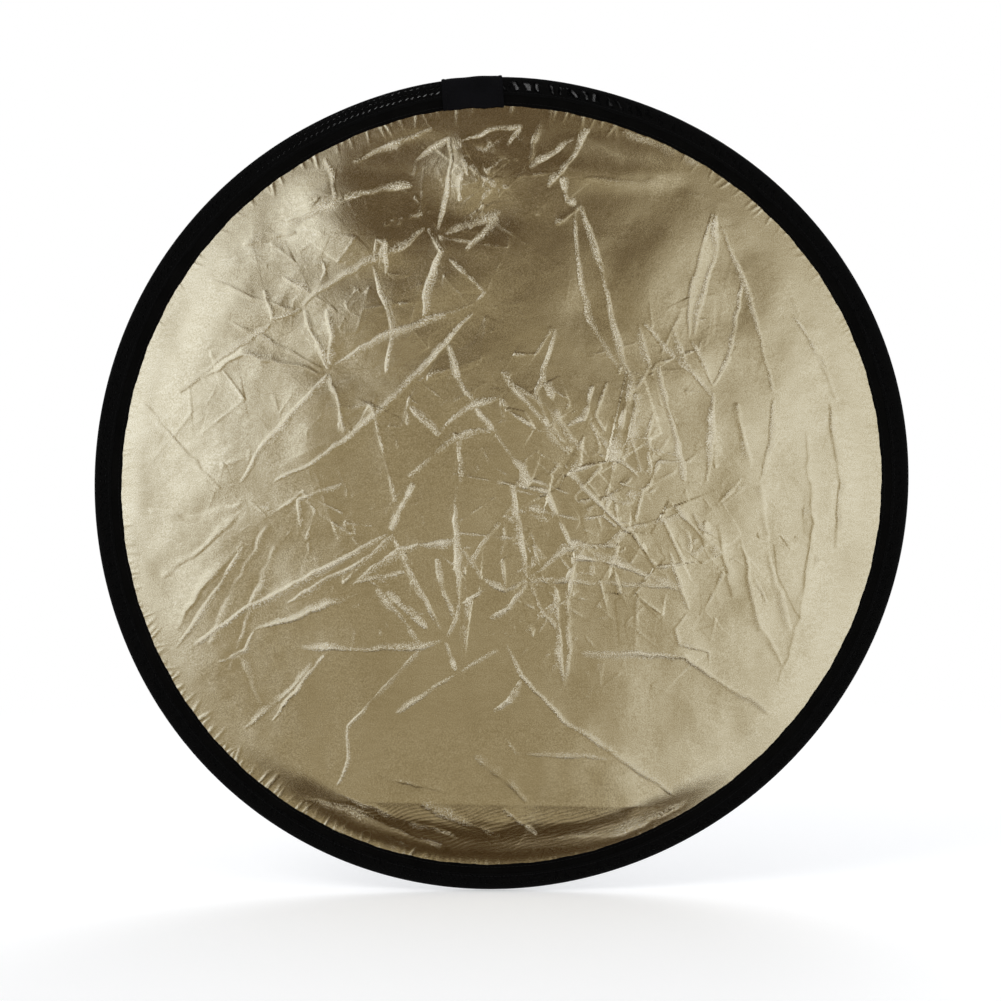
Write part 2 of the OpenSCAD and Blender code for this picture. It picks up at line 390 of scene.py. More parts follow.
def add_crumples(maps, seed, crumples, r):
    """Finer folds, closest together where the cloth is crumpled."""
    height, ridge, wear_and_highlight = maps
    dense = 0.10 + 0 * GX
    for cx, cz, spread, strength in crumples:
        dense += strength * np.exp(-((GX - cx) ** 2 + (GZ - cz) ** 2) / (spread * spread))
    dense = np.minimum(dense, 1.0) * (1 - smooth(255.0, 275.0, r))
    for k, (spacing, high, worn_and_lit, tent) in enumerate(CRUMPLE_SIZES):
        gap, pick = crumple_net(seed + 20 + k, spacing)
        gap = np.abs(gap + 0.385 * noise_field(seed + 30 + k, spacing * 0.8))
        on = smooth(0.66, 1.05, pick * 0.75 + 0.42 * dense) * dense
        fade = 0.65 + 0.35 * noise_field(seed + 40 + k, 22).clip(-1.5, 1.2)
        fold = on * fade * np.exp(-((gap / (1.5 - 0.3 * k)) ** 2))
        ridge[:] = np.where(fold * high > np.abs(ridge), fold * high, ridge)
        # the folds get the paler crease colour too: partly wear, partly a painted highlight
        wear_and_highlight[:] = np.maximum(wear_and_highlight, worn_and_lit * fold)
        height += on * tent * np.exp(-gap / (0.32 * spacing))


def add_gathers(maps, rng):
    """Short gathers where the foil is sewn in, strongest at the top and the lower left."""
    _, ridge, wear_and_highlight = maps
    d = 0.0
    while d < 360:
        strong = 0.45 + 0.55 * max(0, math.cos(math.radians(d - 95))) ** 2
        strong += 0.35 * max(0, math.cos(math.radians(d - 215))) ** 2
        reach = rng.uniform(4, 19) * strong
        lean = rng.uniform(-0.12, 0.12) * reach / 60
        run = [polar(radius, d + math.degrees(turn), 0)[::2]
               for radius, turn in ((EDGE_R + 1, 0.0), (EDGE_R - reach, lean))]
        where, dist, along = distance_to_run(run, 5)
        w = rng.uniform(0.7, 1.3)
        bump = (1 - along) * np.exp(-((dist / w) ** 2)) * rng.uniform(0.16, 0.46) * strong
        ridge[where] = np.maximum(ridge[where], bump)
        # the gathers get the paler crease colour too: partly wear, partly a painted highlight
        wear_and_highlight[where] = np.maximum(wear_and_highlight[where], bump * 1.2)
        d += rng.uniform(0.5, 1.9)


def foil_relief(seed, main, soft, crumples, facets, dome):
    """Height of one foil face above its sewn edge, and how much of the creases' paler colour each
    point gets, which is partly wear and partly a painted highlight.
    """
    rng = random.Random(seed)
    r = np.hypot(GX, GZ)
    bulge = dome * (1 - np.minimum(r / EDGE_R, 1.0) ** 2)
    # a shelf above the crease near the bottom, where the foil turns down to its seam
    fall = -GZ - 0.02 * GX
    shelf = np.interp(fall, (110, 150, 237, 250, 265, 279, 285), (0, 0.4, 2.4, 2.0, 1.1, 0.1, 0))
    height = bulge + shelf * (1 - 0.7 * smooth(70, 200, np.abs(GX)))
    # fine slanted ribs in the turned-down part
    ribs = np.sin(2 * math.pi * (GZ - 0.28 * GX + 0.9 * noise_field(seed + 5, 60)) / 2.7)
    height += 0.018 * ribs * smooth(236, 244, fall) * smooth(-190, -120, GX) * smooth(200, 120, GX)
    for cx, cz, rx, rz, slope_x, slope_z in facets:
        u, v = (GX - cx) / rx, (GZ - cz) / rz
        height += (slope_x * (GX - cx) + slope_z * (GZ - cz)) * np.exp(-((u * u + v * v) ** 2))
    for k, (high, wavelength) in enumerate([(0.085, 95), (0.014, 34), (0.003, 12), (0.001, 5)]):
        height += high * noise_field(seed + 1 + k, wavelength)
    maps = height, np.zeros_like(GX), np.zeros_like(GX)
    for run in main:
        press_crease(maps, rng, run, rng.uniform(0.13, 0.25), rng.uniform(0.8, 1.5), 1.0,
                     rng.choice((-0.2, 0.26, 0.26)) * rng.uniform(0.3, 1.0), rng.uniform(7, 14))
    for run in soft:
        press_crease(maps, rng, run, rng.uniform(0.08, 0.17), rng.uniform(1.3, 2.4), 1.3,
                     rng.choice((-0.13, 0.17)), rng.uniform(7, 14), 0.5)
    add_crumples(maps, seed, crumples, r)
    add_gathers(maps, rng)
    height, ridge, wear_and_highlight = maps
    # held down at the sewn edge, except that the turned-down part stands a little proud again
    held = smooth(255.0, EDGE_R, r)
    height = (height + ridge) * (1 - held) + held * (0.03 + ridge * 0.5 + bulge)
    height += 0.55 * smooth(EDGE_R, 262.0, r) * smooth(232, 262, fall) * smooth(150, 60, np.abs(GX))
    return np.maximum(height, 0.02), wear_and_highlight


def sample(field, x, z):
    """Value of a height-map field between its points."""
    i, j = (x + HALF) / GRID, (z + HALF) / GRID
    i0 = np.clip(i.astype(int), 0, len(AXIS) - 2)
    j0 = np.clip(j.astype(int), 0, len(AXIS) - 2)
    fi, fj = i - i0, j - j0
    return ((field[i0, j0] * (1 - fi) + field[i0 + 1, j0] * fi) * (1 - fj)
            + (field[i0, j0 + 1] * (1 - fi) + field[i0 + 1, j0 + 1] * fi) * fj)


def wedge_grid(a0, a1, columns, ring):
    """Radius, angle and faces of one wedge of foil in rings, with fewer columns near the centre."""
    rings, r = [], FOIL_R
    while r > 2.5:
        n = columns if r > FOIL_R * 0.5 else columns // 2 if r > FOIL_R * 0.25 else columns // 4
        rings.append((r, n))
        r -= ring
    radius, angle, first = [], [], []
    for r, n in rings:
        first.append(sum(len(a) for a in angle))
        angle.append(np.linspace(a0, a1, n + 1))
        radius.append(np.full(n + 1, r))
    quads, tris = [], []
    for (r0, n0), (r1, n1), s0, s1 in zip(rings[:-1], rings[1:], first[:-1], first[1:]):
        if n0 == n1:
            k = np.arange(n0)
            quads.append(np.stack([s0 + k, s0 + k + 1, s1 + k + 1, s1 + k], axis=1))
        else:
            k = np.arange(n1)
            tris.append(np.stack([s0 + 2 * k, s0 + 2 * k + 1, s1 + k], axis=1))
            tris.append(np.stack([s0 + 2 * k + 1, s1 + k + 1, s1 + k], axis=1))
            tris.append(np.stack([s0 + 2 * k + 1, s0 + 2 * k + 2, s1 + k + 1], axis=1))
    apex, last = sum(len(a) for a in angle), first[-1]
    k = np.arange(rings[-1][1])
    tris.append(np.stack([last + k, last + k + 1, np.full(len(k), apex)], axis=1))
    radius.append(np.zeros(1))
    angle.append(np.full(1, (a0 + a1) / 2))
    return [np.concatenate(part) for part in (radius, angle, quads, tris)]


def stand_for(obj, slot, *nodes):
    """Hides the CAD nodes that the piece stands in for; slot is not used."""
    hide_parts(*nodes)


def build_foil(kind, material, relief, wear_and_highlight, side, columns, ring):
    """24 wedges of foil. side is -1 for the gold face, towards -Y, and 1 for the silver face."""
    dx, dz = np.gradient(relief, GRID)
    for i in range(1, LENGTHS + 1):
        a0, a1 = TAB_ANGLE + (i - 1) * STEP, TAB_ANGLE + i * STEP
        r, deg, quads, tris = wedge_grid(a0, a1, columns, ring)
        p = polar(r + (slack(deg) + rim_shift(deg)) * (r / FOIL_R) ** 2, deg, 0 * r)
        x, z = p[:, 0], p[:, 2]
        # w is how much of the paler crease colour, partly a painted highlight, each point gets
        h, w = sample(relief, x, z), sample(wear_and_highlight, x, z)
        p[:, 1] = side * (FOIL_Y + h)
        n = np.stack([-sample(dx, x, z), np.full(len(r), float(side)), -sample(dz, x, z)], axis=1)
        # seen from -Y an anticlockwise face looks towards -Y
        faces = [quads, tris] if side < 0 else [quads[:, ::-1], tris[:, ::-1]]
        # a deeper edge beside the next wedge closes the step between them when folded
        at_edge = np.minimum(np.abs(deg - a0), np.abs(deg - a1)) < 1e-6
        deep = np.where(at_edge, np.clip(2 * (FOIL_Y + h) - 0.35, SKIN, 1.4), SKIN)
        both, solid = thicken(p, faces, np.stack([0 * deep, -side * deep, 0 * deep], axis=1))
        obj = make_mesh(f"{kind}_foil_{i:02d}", material, both, solid, np.concatenate([n, -n]),
                        wear_and_highlight=np.concatenate([w, w]))
        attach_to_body(obj, f"arc_{i:02d}")
        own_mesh(obj)
        stand_for(obj, f"{kind}_foil", f"{kind}_panel")


# ---- pieces swept round the rim
UV_SCALE = 0.01


def swept(name, material, section, a0, a1, spacing, cap_lo, cap_hi):
    """Skin between the outer and inner outlines of a section, swept from angle a0 to a1.
    section(deg) gives two arrays (angles, points, 2) of radius and depth, outer then inner."""
    n = max(2, int(round(math.radians(a1 - a0) * DISC_R / spacing)))
    deg = np.linspace(a0, a1, n + 1)
    outer, inner = section(deg)
    ring = np.concatenate([outer, inner[:, ::-1]], axis=1)
    m, half = ring.shape[1], outer.shape[1]
    shift = np.clip((DISC_R - ring[..., 0]) / (DISC_R - RIM_R), 0, 1)
    r = ring[..., 0] + slack(deg)[:, None] + rim_shift(deg)[:, None] * shift
    p = polar(r, deg[:, None], ring[..., 1]).reshape(-1, 3)
    faces = [grid_faces(n + 1, m, closed=True)]
    s = np.arange(half - 1)
    cap = np.stack([s, m - 1 - s, m - 2 - s, s + 1], axis=1)
    if cap_lo:
        faces.append(cap)
    if cap_hi:
        faces.append(cap[:, ::-1] + n * m)
    run = np.repeat(np.radians(deg) * DISC_R, m)
    steps = np.linalg.norm(np.diff(ring, axis=1, append=ring[:, :1]), axis=2)
    across = np.cumsum(steps, axis=1) - steps
    across = np.concatenate([across[:, :half], across[:, :half][:, ::-1]], axis=1).ravel()
    return make_mesh(name, material, p, faces, uv=np.stack([run, across], axis=1) * UV_SCALE)


def mid_angle(i):
    """Angle at the middle of length i."""
    return TAB_ANGLE + (i - 0.5) * STEP


def attach(obj, i, slot, *nodes):
    """Rides an end length (i = 0 and 24 are the free ends), or has its placing fixed into its mesh
    between lengths i and i + 1.
    """
    if i in (0, LENGTHS):
        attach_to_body(obj, f"arc_{max(i, 1):02d}")
    else:
        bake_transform(obj)
    stand_for(obj, slot, *nodes)


def draw_in(obj):
    """Gives the piece a mesh of its own."""
    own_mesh(obj)


def arcs():
    """Index, start angle and end angle of the pieces round the rim."""
    yield 0, TAB_ANGLE, mid_angle(1)
    for i in range(1, LENGTHS):
        yield i, mid_angle(i), mid_angle(i + 1)
    yield LENGTHS, mid_angle(LENGTHS), TAB_ANGLE + 360


def build_rim(stem, material, node, slot, section, spacing):
    for i, a0, a1 in arcs():
        obj = swept(f"{stem}_{i:02d}", material, section, a0, a1, spacing, i == 0, i == LENGTHS)
        attach(obj, i, slot, node)


def wave(deg, length, phase=0.0):
    """A ripple round the rim, one wave in length mm."""
    return np.sin(np.radians(deg) * DISC_R * 2 * math.pi / length + phase)


def both_faces(half):
    """Each point of a profile with its side, outwards on the front and back in on the back."""
    return [(-1, *point) for point in half] + [(1, *point) for point in half[::-1]]


def tape_section(deg):
    """Edging tape folded over the foil's edge: front face, folded outer edge, back face."""
    one = np.ones_like(deg)
    scallop = 0.07 * wave(deg, STITCH_PITCH * 2) + 0.2 * wave(deg, 41) + 0.12 * wave(deg, 17.3, 1)
    dent = 0.07 * wave(deg, STITCH_PITCH)
    # distance out from the rim's inner edge, and depth
    half = [(0.0, 0.72), (0.35, 1.0), (1.2, 1.12), (2.2, 0.94), (3.4, 1.13), (5.2, 1.19),
            (7.2, 1.16), (9.2, 1.10), (11.1, 1.05), (11.5, 0.85)]
    rows = []
    for sign, d, y in both_faces(half):
        edge = max(0.0, 1 - d / 2.5)
        puff = dent * (1.0 if 1 < d < 4 else 0.25)
        rows.append(np.stack([(RIM_R + d) * one + edge * scallop, sign * (y + puff)], axis=-1))
    outer = np.stack(rows, axis=1)
    inner = outer.copy()
    fold = RIM_R + 0.2 + scallop[:, None]
    inner[..., 0] = np.minimum(np.maximum(outer[..., 0], fold), RIM_R + 5.7)
    inner[..., 1] = np.sign(outer[..., 1]) * 0.62
    return outer, inner


def pucker(deg):
    """Small folds of the loose sleeve, strongest at the lower left and near the tab."""
    low_left = np.exp(-((deg - 222) / 9) ** 2)
    return 0.10 + 0.5 * low_left + 0.25 * np.exp(-(from_tab(deg) / 24) ** 2)


def sleeve_section(deg):
    """Sheer sleeve: front lip, swelling over the hoop, outer edge and back lip."""
    half = [(LIP_R, 1.40), (LIP_R + 0.3, 1.56), (LIP_R + 2, 1.44), (LIP_R + 3.6, 1.60),
            (292.6, 2.25), (293.9, 3.15), (295.1, 3.70), (296.4, 3.88), (297.7, 3.66),
            (298.8, 3.05), (299.5, 2.25), (299.9, 1.15)]
    one = np.ones_like(deg)
    ruffle = 0.6 * wave(deg, 9.7) + 0.5 * wave(deg, 15.1, 2) + 0.3 * wave(deg, 5.3, 4)
    ruffle *= 0.6 * pucker(deg)
    lip = 0.25 * wave(deg, 33, 1) + 0.15 * wave(deg, 12.7)
    step = 0.7 * smooth(143.6, 144.2, deg) * (1 - smooth(150, 165, deg))
    rows = []
    for sign, r, y in both_faces(half):
        loose = smooth(289, 294, r) * (1 - 0.5 * smooth(298, 300, r))
        edge = max(0.0, 1 - (r - LIP_R) / 3)
        rows.append(np.stack([r * one + edge * (lip + step), sign * (y + loose * ruffle)], axis=-1))
    outer = np.stack(rows, axis=1)
    t = np.gradient(outer, axis=1)
    t /= np.linalg.norm(t, axis=2)[..., None]
    inner = outer + SKIN * np.stack([-t[..., 1], t[..., 0]], axis=-1)
    flatter = np.minimum(np.abs(inner[..., 1]), np.abs(outer[..., 1]))
    inner[..., 1] = np.sign(outer[..., 1]) * flatter
    inner[..., 0] = np.minimum(inner[..., 0], outer[..., 0] + 0.05)
    return outer, inner


def hoop_radius(deg):
    """The strip's two halves run a little inside and outside, so that its ends lap side by side."""
    c = np.cos(np.radians(deg - TAB_ANGLE))
    return np.where(deg < TAB_ANGLE + 180, 295.95 - 0.55 * c, 297.05 + 0.55 * c)


def strip_section(deg):
    """Flat steel strip standing on edge: half width w, half thickness t, corners cut by c."""
    r = hoop_radius(deg)
    w, t, c = 2.5, 0.4, 0.12
    half = [(t - c, -w), (t, c - w), (t, 0.0), (t, w - c), (t - c, w)]
    return [np.stack([np.stack([r + sign * a, b + 0 * r], axis=-1) for a, b in half], axis=1)
            for sign in (1, -1)]


def build_hoop(material):
    lap = 3.0                 # how far each end runs past the tab's centre, in degrees
    for i, a0, a1 in arcs():
        lo, hi = i == 0, i == LENGTHS
        obj = swept(f"hoop_strip_{i:02d}", material, strip_section, a0 - lap * lo, a1 + lap * hi,
                    2.0, lo, hi)
        first, last = max(1, i), min(LENGTHS, i + 1)
        attach(obj, i, "spring_steel", *[f"hoop_{k:02d}" for k in sorted({first, last})])
        if lo or hi:
            draw_in(obj)


def stitch_template(length):
    """One stitch lying along X: a round thread dipping into the cloth at both ends."""
    sides = 6
    # place along the stitch, lift and thickness
    rows = [(-0.5, -0.55, 0.55), (-0.42, -0.05, 0.95), (-0.2, 0.22, 1.0), (0.2, 0.22, 1.0),
            (0.42, -0.05, 0.95), (0.5, -0.55, 0.55)]
    verts, faces = [], []
    for s, lift, fat in rows:
        for k in range(sides):
            a = 2 * math.pi * k / sides
            verts.append((s * length, THREAD * (lift + 0.5 * fat * math.sin(a)),
                          0.5 * THREAD * fat * math.cos(a)))
    for q in range(len(rows) - 1):
        for k in range(sides):
            n = (k + 1) % sides
            faces.append((q * sides + k, q * sides + n, (q + 1) * sides + n, (q + 1) * sides + k))
    # the two ends, closed by fans round their centre points
    verts += [(-0.5 * length, -0.55 * THREAD, 0), (0.5 * length, -0.55 * THREAD, 0)]
    lo, hi, last = len(verts) - 2, len(verts) - 1, (len(rows) - 1) * sides
    tris = [(lo, (k + 1) % sides, k) for k in range(sides)]
    tris += [(hi, last + k, last + (k + 1) % sides) for k in range(sides)]
    return np.array(verts), np.array(faces), np.array(tris)


def stitch_row(name, material, places, length, rng):
    """Stitches at (centre, direction along, direction outwards) places, joined in one mesh."""
    template, quads_one, tris_one = stitch_template(length)
    verts, quads, tris = [], [], []
    for k, (centre, along, up) in enumerate(places):
        turn = rng.uniform(-0.09, 0.09)
        along = along * math.cos(turn) + np.cross(along, up) * math.sin(turn)
        x, y, z = template.T
        verts.append(centre + np.outer(x * rng.uniform(0.9, 1.08), along) + np.outer(y, up)
                     + np.outer(z, np.cross(along, up)))
        quads.append(quads_one + k * len(template))
        tris.append(tris_one + k * len(template))
    faces = [np.concatenate(quads), np.concatenate(tris)]
    return make_mesh(name, material, np.concatenate(verts), faces)


def build_seam(stem, material, node, r0, y0, side, rng):
    """A row of stitches round the rim at radius r0 and depth y0, on the face at side."""
    pitch = math.degrees(STITCH_PITCH / r0)
    shift = (DISC_R - r0) / (DISC_R - RIM_R)
    for i, a0, a1 in arcs():
        places = []
        for k in range(math.ceil(a0 / pitch), math.floor(a1 / pitch) + 1):
            d = k * pitch
            if not a0 <= d < a1:
                continue
            r = r0 + slack(d) + rim_shift(d) * shift + rng.uniform(-0.08, 0.08)
            places.append((polar(r, d, side * y0), polar(1.0, d + 90, 0), np.array([0, side, 0])))
        obj = stitch_row(f"{stem}_{i:02d}", material, places, 2.4, rng)
        attach(obj, i, "thread", node)


# ---- the tab over the lapped ends
TAB_W = 45.0
HEM_SEAM, HEM_FOLD = 19.4, 21.2                # from the tab's centre line
# radius and depth, from the inner edge of the front over the hoop to the mid-plane
TAB_PROFILE = [(277.6, 2.05), (277.9, 2.42), (280.0, 2.52), (283.0, 2.50), (286.0, 2.52),
               (289.0, 2.60), (291.5, 3.0), (293.5, 3.85), (295.2, 4.40), (296.6, 4.55),
               (298.0, 4.36), (299.3, 3.70), (300.4, 2.60), (300.9, 1.30), (301.0, 0.0)]


def tab_point(u, r, y):
    """A point u mm along the rim from the tab's centre line, at section radius r and depth y."""
    a = math.radians(TAB_ANGLE)
    out, along = np.array([math.cos(a), math.sin(a)]), np.array([-math.sin(a), math.cos(a)])
    reach = np.sqrt(r * r - u * u)
    return np.stack([reach * out[0] + u * along[0], y, reach * out[1] + u * along[1]], axis=-1)


def ride_tab(obj, slot, node):
    """Pieces of the tab ride the first length."""
    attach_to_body(obj, "arc_01")
    stand_for(obj, slot, node)
    draw_in(obj)


def build_tab(cloth, thread, rng):
    """A folded tab of woven cloth over the lapped ends, hemmed and sewn at both sides."""
    half = np.array(TAB_PROFILE)
    # finer steps along the profile, then the same again for the back
    steps = np.linspace(0, len(half) - 1, 61)
    r, y = (np.interp(steps, np.arange(len(half)), column) for column in half.T)
    r, y = np.concatenate([r, r[-2::-1]]), np.concatenate([-y, y[-2::-1]])
    u = np.linspace(-TAB_W / 2, TAB_W / 2, 121)
    uu, rr = np.meshgrid(u, r, indexing="ij")
    yy = np.meshgrid(u, y, indexing="ij")[1]
    side = np.abs(uu)
    inner_edge = np.clip(1 - (rr - TAB_PROFILE[0][0]) / 3, 0, 1)
    fray = 0.35 * np.sin(uu / 3.1 + 1) + 0.3 * np.sin(uu / 7.3) + 0.15 * np.sin(uu)
    rr = rr + inner_edge * fray
    hem = np.exp(-((side - HEM_FOLD) / 1.3) ** 2) * 0.32
    groove = np.exp(-((side - HEM_SEAM) / 0.5) ** 2) * 0.22
    slub = 0.10 * np.sin(uu / 4.7 + rr / 3.3) + 0.08 * np.sin(uu / 2.9 - rr / 2.1 + 2)
    lift = hem - groove + slub - 0.30 * smooth(22.0, 22.5, side)
    yy = yy + np.sign(yy) * lift * smooth(0.4, 2.0, np.abs(yy))
    rr = rr + lift * smooth(299, 301, rr)
    p = tab_point(uu, rr, yy)
    normal = np.cross(np.gradient(p, axis=1), np.gradient(p, axis=0))
    normal /= np.linalg.norm(normal, axis=2)[..., None]
    both, solid = thicken(p.reshape(-1, 3), [grid_faces(*uu.shape)], -0.5 * normal.reshape(-1, 3))
    across = np.concatenate([[0], np.cumsum(np.hypot(np.diff(r), np.diff(y)))])
    uv = np.stack(np.meshgrid(u, across, indexing="ij"), axis=-1).reshape(-1, 2) * UV_SCALE
    ride_tab(make_mesh("tab_cloth", cloth, both, solid, uv=np.concatenate([uv, uv])),
             "tab_cloth", "tab_cover")
    # hem stitches, running over the swelling from front to back
    places = []
    for row in (-HEM_SEAM, HEM_SEAM):
        at = np.argmin(np.abs(u - row))
        line = p[at]
        s = np.concatenate([[0], np.cumsum(np.linalg.norm(np.diff(line, axis=0), axis=1))])

        def on_row(values, d):
            return np.array([np.interp(d, s, values[:, k]) for k in range(3)])

        for d in np.arange(1.6, s[-1] - 1.0, 2.9):
            centre, up = on_row(line, d), on_row(normal[at], d)
            along = on_row(line, d + 0.3) - centre
            places.append((centre, along / np.linalg.norm(along), up / np.linalg.norm(up)))
    ride_tab(stitch_row("tab_hem_stitches", thread, places, 2.1, rng), "thread", "tab_stitching")


# ---- materials
class Nodes:
    """Short names for building a node tree."""

    def __init__(self, tree):
        self.tree = tree
        tree.nodes.clear()

    def add(self, kind, **settings):
        node = self.tree.nodes.new(kind)
        for key, value in settings.items():
            setattr(node, key, value)
        return node

    def split(self, vector):
        parts = self.add("ShaderNodeSeparateXYZ")
        self.wire(vector, parts.inputs[0])
        return parts.outputs

    def output(self, shader, kind="ShaderNodeOutputMaterial"):
        self.wire(shader, self.add(kind).inputs["Surface"])

    def surface(self, inputs):
        """A Principled surface; inputs gives a number, a colour or a node's output by name."""
        shader = self.add("ShaderNodeBsdfPrincipled")
        for name, value in inputs.items():
            self.wire(value, shader.inputs[name])
        self.output(shader.outputs[0])

    def wire(self, value, socket):
        if hasattr(value, "is_linked"):
            self.tree.links.new(value, socket)
        else:
            socket.default_value = value

    def math(self, op, a, b=0.0, c=0.0):
        node = self.add("ShaderNodeMath", operation=op)
        for value, socket in zip((a, b, c), node.inputs):
            self.wire(value, socket)
        return node.outputs[0]

    def mul(self, a, b):
        return self.math("MULTIPLY", a, b)

    def plus(self, a, b):
        return self.math("ADD", a, b)

    def minus(self, a, b):
        return self.math("SUBTRACT", a, b)

    def mad(self, a, b, c):
        """a times b, plus c."""
        return self.math("MULTIPLY_ADD", a, b, c)

    def sine(self, a):
        return self.math("SINE", a)

    def most(self, a, b):
        return self.math("MAXIMUM", a, b)

    def least(self, a, b):
        return self.math("MINIMUM", a, b)

    def remap(self, value, a, b, c=0.0, d=1.0):
        """A smooth rise from c to d as value goes from a to b."""
        node = self.add("ShaderNodeMapRange", interpolation_type="SMOOTHSTEP")
        for v, key in zip((value, a, b, c, d),
                          ("Value", "From Min", "From Max", "To Min", "To Max")):
            self.wire(v, node.inputs[key])
        return node.outputs[0]

    def noise(self, vector, scale, detail=2.0, rough=0.5):
        node = self.add("ShaderNodeTexNoise")
        self.wire(vector, node.inputs["Vector"])
        node.inputs["Scale"].default_value = scale
        node.inputs["Detail"].default_value = detail
        node.inputs["Roughness"].default_value = rough
        return node.outputs[0]

    def stretch(self, vector, x=1.0, y=1.0, z=1.0, turn=0.0):
        node = self.add("ShaderNodeMapping")
        self.wire(vector, node.inputs["Vector"])
        node.inputs["Scale"].default_value = (x, y, z)
        node.inputs["Rotation"].default_value = (0, turn, 0)
        return node.outputs[0]

    def mix(self, share, a, b):
        node = self.add("ShaderNodeMix", data_type="RGBA")
        self.wire(share, node.inputs[0])
        for value, socket in ((a, node.inputs[6]), (b, node.inputs[7])):
            if isinstance(value, tuple):
                value = (*value[:3], 1.0)
            self.wire(value, socket)
        return node.outputs[2]

    def ramp(self, value, stops):
        node = self.add("ShaderNodeValToRGB")
        self.wire(value, node.inputs[0])
        ramp = node.color_ramp
        while len(ramp.elements) < len(stops):
            ramp.elements.new(0.5)
        for e, (at, colour) in zip(ramp.elements, stops):
            e.position = at
            e.color = (*colour, 1.0)
        return node.outputs[0]

    def bump(self, height, strength, distance):
        node = self.add("ShaderNodeBump")
        node.inputs["Strength"].default_value = strength
        node.inputs["Distance"].default_value = distance
        self.wire(height, node.inputs["Height"])
        return node.outputs[0]


def new_material(name):
    """A material, short names for its nodes, and each point's place in metres."""
    mat = bpy.data.materials.new(name)
    mat.use_nodes = True
    n = Nodes(mat.node_tree)
    return mat, n, n.add("ShaderNodeTexCoord").outputs["Object"]


def weave(n, vector, pitch_mm):
    """Height of a plain weave, 0 to 1, from a vector in metres."""
    x, _, z = n.split(vector)
    k = 2 * math.pi / (pitch_mm * MM)
    return n.mad(n.mul(n.sine(n.mul(x, k)), n.sine(n.mul(z, k))), 0.5, 0.5)


def foil_material(name, colours, rough):
    """Metallised woven cloth, in three tones. The fourth colour is the paler one of its creases,
    partly wear and partly a painted highlight where they catch the light; there it is also rougher
    and less metallic, with a grainy edge."""
    mat, n, where = new_material(name)
    wear_and_highlight = n.add("ShaderNodeAttribute", attribute_name="wear_and_highlight").outputs["Fac"]
    blotch = n.noise(where, 14.0, 3.0, 0.55)
    grain = n.noise(where, 1250.0, 2.0, 0.65)
    slub = n.noise(n.stretch(where, 0.3, 1.0, 1.0), 420.0, 2.0, 0.5)
    cloth = weave(n, n.stretch(where, turn=0.05), 0.62)
    # along the creases the colour is painted paler, partly wear and partly a painted highlight, and
    # the cloth is rougher and less metallic
    scuff_and_highlight = n.mad(n.minus(grain, 0.5), 2.2, wear_and_highlight)
    scuff_and_highlight = n.remap(n.mul(scuff_and_highlight, n.remap(wear_and_highlight, 0.0, 0.2)), 0.0, 1.1)
    tone = n.mad(n.minus(grain, 0.5), 1.3, 0.5)
    tone = n.plus(tone, n.mul(n.minus(slub, 0.5), 0.25))
    tone = n.plus(tone, n.mul(n.minus(blotch, 0.5), 0.45))
    base = n.ramp(tone, [(0.1, colours[0]), (0.5, colours[1]), (0.9, colours[2])])
    relief = n.mul(n.plus(n.mul(cloth, 0.35), grain), n.mad(scuff_and_highlight, 3.0, 1.0))
    n.surface({"Base Color": n.mix(n.mul(scuff_and_highlight, 0.26), base, colours[3]),
               "Roughness": n.mad(scuff_and_highlight, 0.18, n.mad(grain, 0.08, rough - 0.04)),
               "Metallic": n.mad(scuff_and_highlight, -0.5, 1.0),
               "Normal": n.bump(relief, 0.15, 0.00012)})
    return mat


def cloth_material(name, dark, light, pitch, rough, sheen, tint, spec):
    """Woven black cloth: dark yarn, its high spots painted paler as a painted highlight, and a soft
    sheen.
    """
    mat, n, where = new_material(name)
    cloth = weave(n, n.stretch(where, turn=0.4), pitch)
    fuzz = n.noise(where, 1400.0, 2.0, 0.6)
    patch = n.noise(where, 40.0, 3.0, 0.6)
    # the weave's high spots are painted paler: a painted highlight on the yarn
    tone = n.plus(n.mul(cloth, 0.5), n.mul(fuzz, 0.4))
    tone = n.plus(tone, n.mul(n.minus(patch, 0.5), 0.6))
    n.surface({"Base Color": n.ramp(tone, [(0.2, dark), (0.85, light)]),
               "Roughness": n.mad(patch, 0.2, rough - 0.1), "Specular IOR Level": spec,
               "Sheen Weight": sheen, "Sheen Roughness": 0.4, "Sheen Tint": (*tint, 1.0),
               "Normal": n.bump(n.plus(cloth, fuzz), 0.7, 0.0002)})
    return mat


